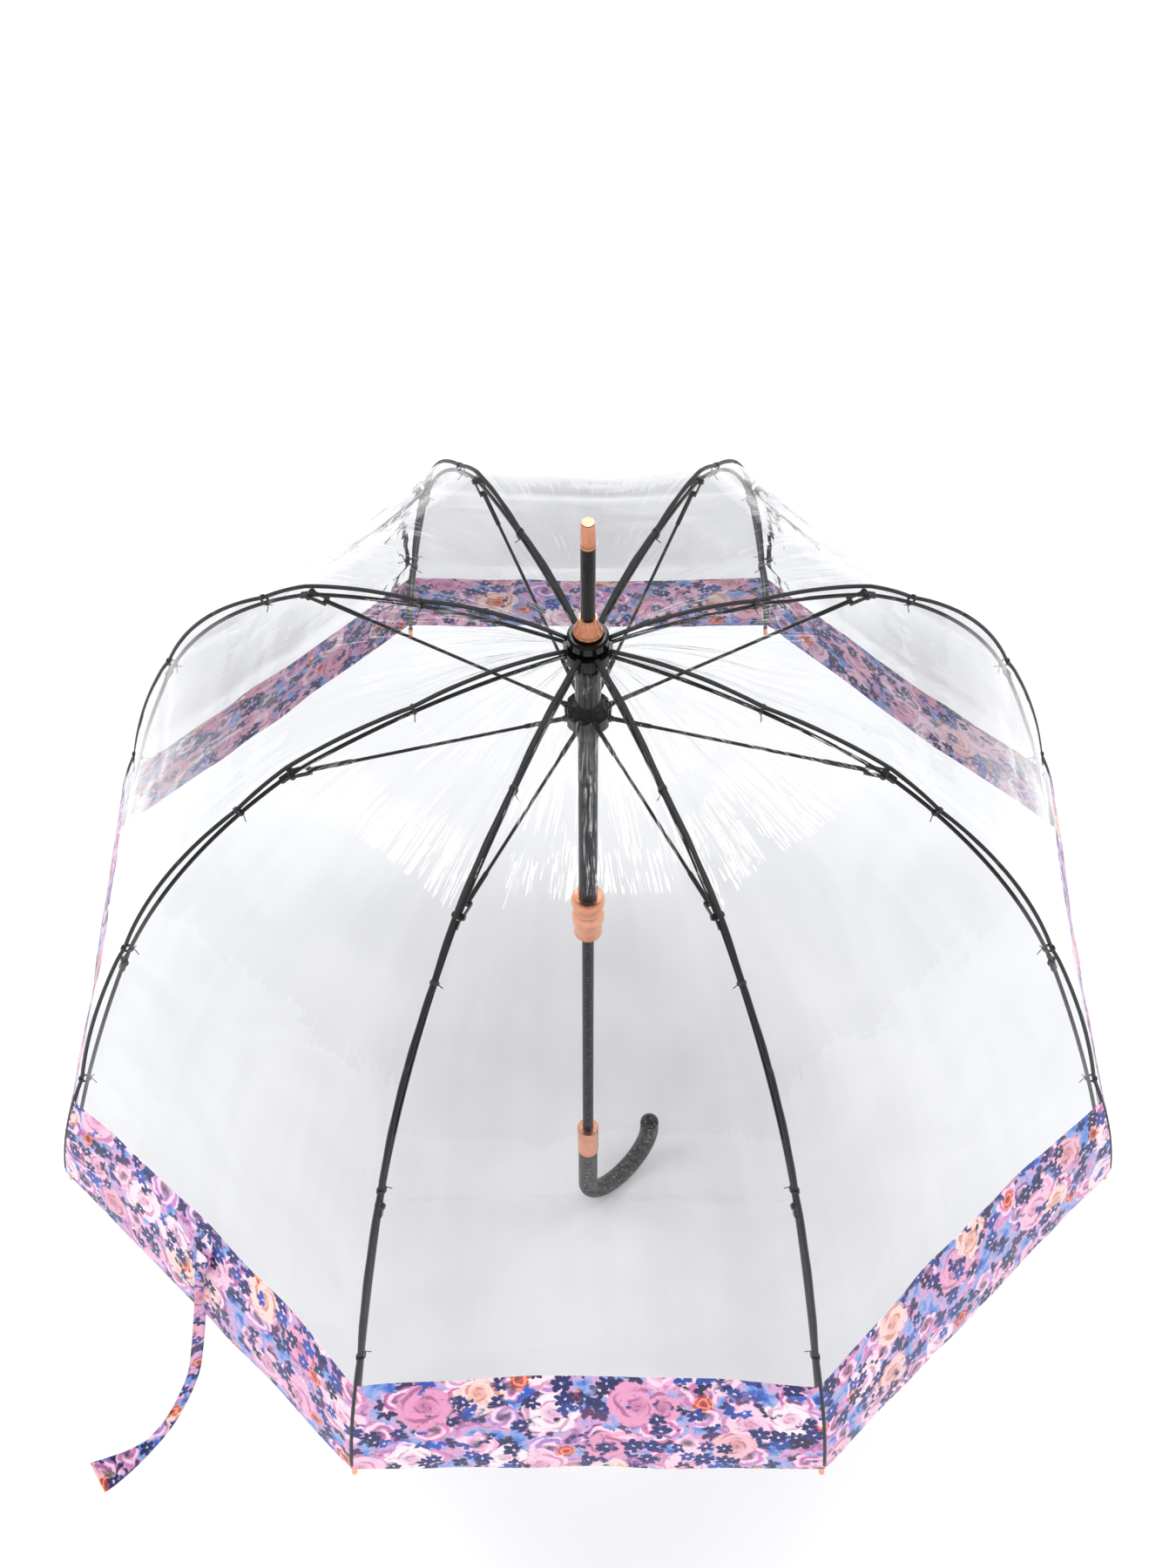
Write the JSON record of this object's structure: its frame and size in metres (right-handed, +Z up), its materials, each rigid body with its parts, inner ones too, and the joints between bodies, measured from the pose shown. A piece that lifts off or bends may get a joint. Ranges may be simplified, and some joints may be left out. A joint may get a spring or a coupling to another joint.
{
  "type": "clear dome umbrella",
  "caption": "Clear dome umbrella with a printed rim band, folding rib frame, sliding runner, long ferrule and crook handle.",
  "frame": {"origin": "centre of the straight grip, on the shaft axis", "axes": "+Z up the shaft from handle to ferrule, ribs straddling the X and Y axes, crook hooked towards +X +Y"},
  "size_m": [0.8264, 0.8264, 0.9258],
  "materials": {
    "dark_metal": "hammered dark grey lacquer",
    "handle_grey": "hammered dark grey, satin",
    "rose_gold": "satin rose gold plating",
    "black_gloss": "glossy black",
    "black_steel": "black lacquered wire, satin",
    "spring_steel": "bright spring steel",
    "clear_film": "clear glossy film",
    "floral_film": "glossy film with a floral print",
    "black_tape": "black woven binding",
    "floral_band": "floral printed band"
  },
  "bodies": {
    "frame": {"shaft": "dark_metal", "ferrule_tube": "black_gloss", "ferrule_tip": "rose_gold", "cap_cone": "rose_gold", "cap_washer": "black_gloss", "crown": "black_gloss", "crown_wire": "spring_steel", "handle_ring": "rose_gold", "crook_handle": "handle_grey", "canopy_film": "clear_film", "canopy_border": "floral_film", "seam_tapes": "black_tape"},
    "runner": {"runner_head": "black_gloss", "runner_wire": "spring_steel", "runner_tube": "dark_metal", "grip_collar": "rose_gold"},
    "top_catch": {"top_catch": "spring_steel"},
    "bottom_catch": {"bottom_catch": "spring_steel"},
    "rib_1_upper": {"rib_1_upper": "black_steel"},
    "rib_1_middle": {"rib_1_middle": "black_steel"},
    "rib_1_lower": {"rib_1_lower": "black_steel", "rib_1_tip": "rose_gold"},
    "rib_1_stretcher": {"rib_1_stretcher": "black_steel"},
    "rib_2_upper": {"rib_2_upper": "black_steel"},
    "rib_2_middle": {"rib_2_middle": "black_steel"},
    "rib_2_lower": {"rib_2_lower": "black_steel", "rib_2_tip": "rose_gold"},
    "rib_2_stretcher": {"rib_2_stretcher": "black_steel"},
    "rib_3_upper": {"rib_3_upper": "black_steel"},
    "rib_3_middle": {"rib_3_middle": "black_steel"},
    "rib_3_lower": {"rib_3_lower": "black_steel", "rib_3_tip": "rose_gold"},
    "rib_3_stretcher": {"rib_3_stretcher": "black_steel"},
    "rib_4_upper": {"rib_4_upper": "black_steel"},
    "rib_4_middle": {"rib_4_middle": "black_steel"},
    "rib_4_lower": {"rib_4_lower": "black_steel", "rib_4_tip": "rose_gold"},
    "rib_4_stretcher": {"rib_4_stretcher": "black_steel"},
    "rib_5_upper": {"rib_5_upper": "black_steel"},
    "rib_5_middle": {"rib_5_middle": "black_steel"},
    "rib_5_lower": {"rib_5_lower": "black_steel", "rib_5_tip": "rose_gold"},
    "rib_5_stretcher": {"rib_5_stretcher": "black_steel"},
    "rib_6_upper": {"rib_6_upper": "black_steel"},
    "rib_6_middle": {"rib_6_middle": "black_steel"},
    "rib_6_lower": {"rib_6_lower": "black_steel", "rib_6_tip": "rose_gold"},
    "rib_6_stretcher": {"rib_6_stretcher": "black_steel"},
    "rib_7_upper": {"rib_7_upper": "black_steel"},
    "rib_7_middle": {"rib_7_middle": "black_steel"},
    "rib_7_lower": {"rib_7_lower": "black_steel", "rib_7_tip": "rose_gold"},
    "rib_7_stretcher": {"rib_7_stretcher": "black_steel"},
    "rib_8_upper": {"rib_8_upper": "black_steel"},
    "rib_8_middle": {"rib_8_middle": "black_steel"},
    "rib_8_lower": {"rib_8_lower": "black_steel", "rib_8_tip": "rose_gold"},
    "rib_8_stretcher": {"rib_8_stretcher": "black_steel"},
    "strap_patch": {"strap_patch": "floral_band"},
    "closure_strap": {"closure_strap": "floral_band"}
  },
  "joints": [
    {"name": "canopy_fold", "type": "hinge", "parent": "frame", "child": "rib_1_upper", "pos_m": [0.01293, 0.00536, 0.723], "axis": [-0.3827, 0.9239, 0], "range_deg": [0, 75], "deforming": ["canopy_film", "canopy_border", "seam_tapes", "top_catch", "bottom_catch"]},
    {"name": "rib_2_fold", "type": "hinge", "parent": "frame", "child": "rib_2_upper", "pos_m": [0.00536, 0.01293, 0.723], "axis": [-0.9239, 0.3827, 0], "range_deg": [-0.1, 75.1]},
    {"name": "rib_3_fold", "type": "hinge", "parent": "frame", "child": "rib_3_upper", "pos_m": [-0.00536, 0.01293, 0.723], "axis": [-0.9239, -0.3827, 0], "range_deg": [-0.1, 75.1]},
    {"name": "rib_4_fold", "type": "hinge", "parent": "frame", "child": "rib_4_upper", "pos_m": [-0.01293, 0.00536, 0.723], "axis": [-0.3827, -0.9239, 0], "range_deg": [-0.1, 75.1]},
    {"name": "rib_5_fold", "type": "hinge", "parent": "frame", "child": "rib_5_upper", "pos_m": [-0.01293, -0.00536, 0.723], "axis": [0.3827, -0.9239, 0], "range_deg": [-0.1, 75.1]},
    {"name": "rib_6_fold", "type": "hinge", "parent": "frame", "child": "rib_6_upper", "pos_m": [-0.00536, -0.01293, 0.723], "axis": [0.9239, -0.3827, 0], "range_deg": [-0.1, 75.1]},
    {"name": "rib_7_fold", "type": "hinge", "parent": "frame", "child": "rib_7_upper", "pos_m": [0.00536, -0.01293, 0.723], "axis": [0.9239, 0.3827, 0], "range_deg": [-0.1, 75.1]},
    {"name": "rib_8_fold", "type": "hinge", "parent": "frame", "child": "rib_8_upper", "pos_m": [0.01293, -0.00536, 0.723], "axis": [0.3827, 0.9239, 0], "range_deg": [-0.1, 75.1]},
    {"name": "rib_1_stretch", "type": "hinge", "parent": "rib_1_upper", "child": "rib_1_stretcher", "pos_m": [0.19986, 0.08278, 0.69], "axis": [-0.3827, 0.9239, 0], "range_deg": [-150.1, 0.1]},
    {"name": "rib_1_flex", "type": "hinge", "parent": "rib_1_upper", "child": "rib_1_middle", "pos_m": [0.19986, 0.08278, 0.69], "axis": [-0.3827, 0.9239, 0], "range_deg": [-36.85, 0.1]},
    {"name": "rib_1_knee", "type": "hinge", "parent": "rib_1_middle", "child": "rib_1_lower", "pos_m": [0.3289, 0.13623, 0.544], "axis": [-0.3827, 0.9239, 0], "range_deg": [-27.1, 0.1]},
    {"name": "rib_2_stretch", "type": "hinge", "parent": "rib_2_upper", "child": "rib_2_stretcher", "pos_m": [0.08278, 0.19986, 0.69], "axis": [-0.9239, 0.3827, 0], "range_deg": [-150.1, 0.1]},
    {"name": "rib_2_flex", "type": "hinge", "parent": "rib_2_upper", "child": "rib_2_middle", "pos_m": [0.08278, 0.19986, 0.69], "axis": [-0.9239, 0.3827, 0], "range_deg": [-36.85, 0.1]},
    {"name": "rib_2_knee", "type": "hinge", "parent": "rib_2_middle", "child": "rib_2_lower", "pos_m": [0.13623, 0.3289, 0.544], "axis": [-0.9239, 0.3827, 0], "range_deg": [-27.1, 0.1]},
    {"name": "rib_3_stretch", "type": "hinge", "parent": "rib_3_upper", "child": "rib_3_stretcher", "pos_m": [-0.08278, 0.19986, 0.69], "axis": [-0.9239, -0.3827, 0], "range_deg": [-150.1, 0.1]},
    {"name": "rib_3_flex", "type": "hinge", "parent": "rib_3_upper", "child": "rib_3_middle", "pos_m": [-0.08278, 0.19986, 0.69], "axis": [-0.9239, -0.3827, 0], "range_deg": [-36.85, 0.1]},
    {"name": "rib_3_knee", "type": "hinge", "parent": "rib_3_middle", "child": "rib_3_lower", "pos_m": [-0.13623, 0.3289, 0.544], "axis": [-0.9239, -0.3827, 0], "range_deg": [-27.1, 0.1]},
    {"name": "rib_4_stretch", "type": "hinge", "parent": "rib_4_upper", "child": "rib_4_stretcher", "pos_m": [-0.19986, 0.08278, 0.69], "axis": [-0.3827, -0.9239, 0], "range_deg": [-150.1, 0.1]},
    {"name": "rib_4_flex", "type": "hinge", "parent": "rib_4_upper", "child": "rib_4_middle", "pos_m": [-0.19986, 0.08278, 0.69], "axis": [-0.3827, -0.9239, 0], "range_deg": [-36.85, 0.1]},
    {"name": "rib_4_knee", "type": "hinge", "parent": "rib_4_middle", "child": "rib_4_lower", "pos_m": [-0.3289, 0.13623, 0.544], "axis": [-0.3827, -0.9239, 0], "range_deg": [-27.1, 0.1]},
    {"name": "rib_5_stretch", "type": "hinge", "parent": "rib_5_upper", "child": "rib_5_stretcher", "pos_m": [-0.19986, -0.08278, 0.69], "axis": [0.3827, -0.9239, 0], "range_deg": [-150.1, 0.1]},
    {"name": "rib_5_flex", "type": "hinge", "parent": "rib_5_upper", "child": "rib_5_middle", "pos_m": [-0.19986, -0.08278, 0.69], "axis": [0.3827, -0.9239, 0], "range_deg": [-36.85, 0.1]},
    {"name": "rib_5_knee", "type": "hinge", "parent": "rib_5_middle", "child": "rib_5_lower", "pos_m": [-0.3289, -0.13623, 0.544], "axis": [0.3827, -0.9239, 0], "range_deg": [-27.1, 0.1]},
    {"name": "rib_6_stretch", "type": "hinge", "parent": "rib_6_upper", "child": "rib_6_stretcher", "pos_m": [-0.08278, -0.19986, 0.69], "axis": [0.9239, -0.3827, 0], "range_deg": [-150.1, 0.1]},
    {"name": "rib_6_flex", "type": "hinge", "parent": "rib_6_upper", "child": "rib_6_middle", "pos_m": [-0.08278, -0.19986, 0.69], "axis": [0.9239, -0.3827, 0], "range_deg": [-36.85, 0.1]},
    {"name": "rib_6_knee", "type": "hinge", "parent": "rib_6_middle", "child": "rib_6_lower", "pos_m": [-0.13623, -0.3289, 0.544], "axis": [0.9239, -0.3827, 0], "range_deg": [-27.1, 0.1]},
    {"name": "rib_7_stretch", "type": "hinge", "parent": "rib_7_upper", "child": "rib_7_stretcher", "pos_m": [0.08278, -0.19986, 0.69], "axis": [0.9239, 0.3827, 0], "range_deg": [-150.1, 0.1]},
    {"name": "rib_7_flex", "type": "hinge", "parent": "rib_7_upper", "child": "rib_7_middle", "pos_m": [0.08278, -0.19986, 0.69], "axis": [0.9239, 0.3827, 0], "range_deg": [-36.85, 0.1]},
    {"name": "rib_7_knee", "type": "hinge", "parent": "rib_7_middle", "child": "rib_7_lower", "pos_m": [0.13623, -0.3289, 0.544], "axis": [0.9239, 0.3827, 0], "range_deg": [-27.1, 0.1]},
    {"name": "rib_8_stretch", "type": "hinge", "parent": "rib_8_upper", "child": "rib_8_stretcher", "pos_m": [0.19986, -0.08278, 0.69], "axis": [0.3827, 0.9239, 0], "range_deg": [-150.1, 0.1]},
    {"name": "rib_8_flex", "type": "hinge", "parent": "rib_8_upper", "child": "rib_8_middle", "pos_m": [0.19986, -0.08278, 0.69], "axis": [0.3827, 0.9239, 0], "range_deg": [-36.85, 0.1]},
    {"name": "rib_8_knee", "type": "hinge", "parent": "rib_8_middle", "child": "rib_8_lower", "pos_m": [0.3289, -0.13623, 0.544], "axis": [0.3827, 0.9239, 0], "range_deg": [-27.1, 0.1]},
    {"name": "runner_hang", "type": "hinge", "parent": "rib_1_stretcher", "child": "runner", "pos_m": [0.01293, 0.00536, 0.657], "axis": [-0.3827, 0.9239, 0], "range_deg": [-0.1, 75.1]},
    {"name": "top_catch_press", "type": "slide", "parent": "frame", "child": "top_catch", "axis": [0, -1, 0], "range_m": [0, 0.0033], "stiffness_N_per_m": 400},
    {"name": "bottom_catch_press", "type": "slide", "parent": "frame", "child": "bottom_catch", "axis": [0, -1, 0], "range_m": [0, 0.0033], "stiffness_N_per_m": 400},
    {"name": "strap_gather", "type": "slide", "parent": "rib_5_lower", "child": "strap_patch", "axis": [-0.8069, 0.5631, 0.1784], "range_m": [-0.0002, 0.1495]},
    {"name": "strap_swing", "type": "hinge", "parent": "strap_patch", "child": "closure_strap", "pos_m": [-0.28143, -0.28143, 0.375], "axis": [0.7071, -0.7071, 0], "range_deg": [-45, 18]}
  ],
  "couplings": [
    {"joint": "rib_2_fold", "follows": "canopy_fold", "ratio": 1},
    {"joint": "rib_3_fold", "follows": "canopy_fold", "ratio": 1},
    {"joint": "rib_4_fold", "follows": "canopy_fold", "ratio": 1},
    {"joint": "rib_5_fold", "follows": "canopy_fold", "ratio": 1},
    {"joint": "rib_6_fold", "follows": "canopy_fold", "ratio": 1},
    {"joint": "rib_7_fold", "follows": "canopy_fold", "ratio": 1},
    {"joint": "rib_8_fold", "follows": "canopy_fold", "ratio": 1},
    {"joint": "rib_1_stretch", "follows": "canopy_fold", "ratio": -2},
    {"joint": "rib_1_flex", "follows": "canopy_fold", "ratio": -0.49},
    {"joint": "rib_1_knee", "follows": "canopy_fold", "ratio": -0.36},
    {"joint": "rib_2_stretch", "follows": "canopy_fold", "ratio": -2},
    {"joint": "rib_2_flex", "follows": "canopy_fold", "ratio": -0.49},
    {"joint": "rib_2_knee", "follows": "canopy_fold", "ratio": -0.36},
    {"joint": "rib_3_stretch", "follows": "canopy_fold", "ratio": -2},
    {"joint": "rib_3_flex", "follows": "canopy_fold", "ratio": -0.49},
    {"joint": "rib_3_knee", "follows": "canopy_fold", "ratio": -0.36},
    {"joint": "rib_4_stretch", "follows": "canopy_fold", "ratio": -2},
    {"joint": "rib_4_flex", "follows": "canopy_fold", "ratio": -0.49},
    {"joint": "rib_4_knee", "follows": "canopy_fold", "ratio": -0.36},
    {"joint": "rib_5_stretch", "follows": "canopy_fold", "ratio": -2},
    {"joint": "rib_5_flex", "follows": "canopy_fold", "ratio": -0.49},
    {"joint": "rib_5_knee", "follows": "canopy_fold", "ratio": -0.36},
    {"joint": "rib_6_stretch", "follows": "canopy_fold", "ratio": -2},
    {"joint": "rib_6_flex", "follows": "canopy_fold", "ratio": -0.49},
    {"joint": "rib_6_knee", "follows": "canopy_fold", "ratio": -0.36},
    {"joint": "rib_7_stretch", "follows": "canopy_fold", "ratio": -2},
    {"joint": "rib_7_flex", "follows": "canopy_fold", "ratio": -0.49},
    {"joint": "rib_7_knee", "follows": "canopy_fold", "ratio": -0.36},
    {"joint": "rib_8_stretch", "follows": "canopy_fold", "ratio": -2},
    {"joint": "rib_8_flex", "follows": "canopy_fold", "ratio": -0.49},
    {"joint": "rib_8_knee", "follows": "canopy_fold", "ratio": -0.36},
    {"joint": "runner_hang", "follows": "canopy_fold", "ratio": 1},
    {"joint": "strap_gather", "follows": "canopy_fold", "m_per_rad": 0.11406}
  ]
}
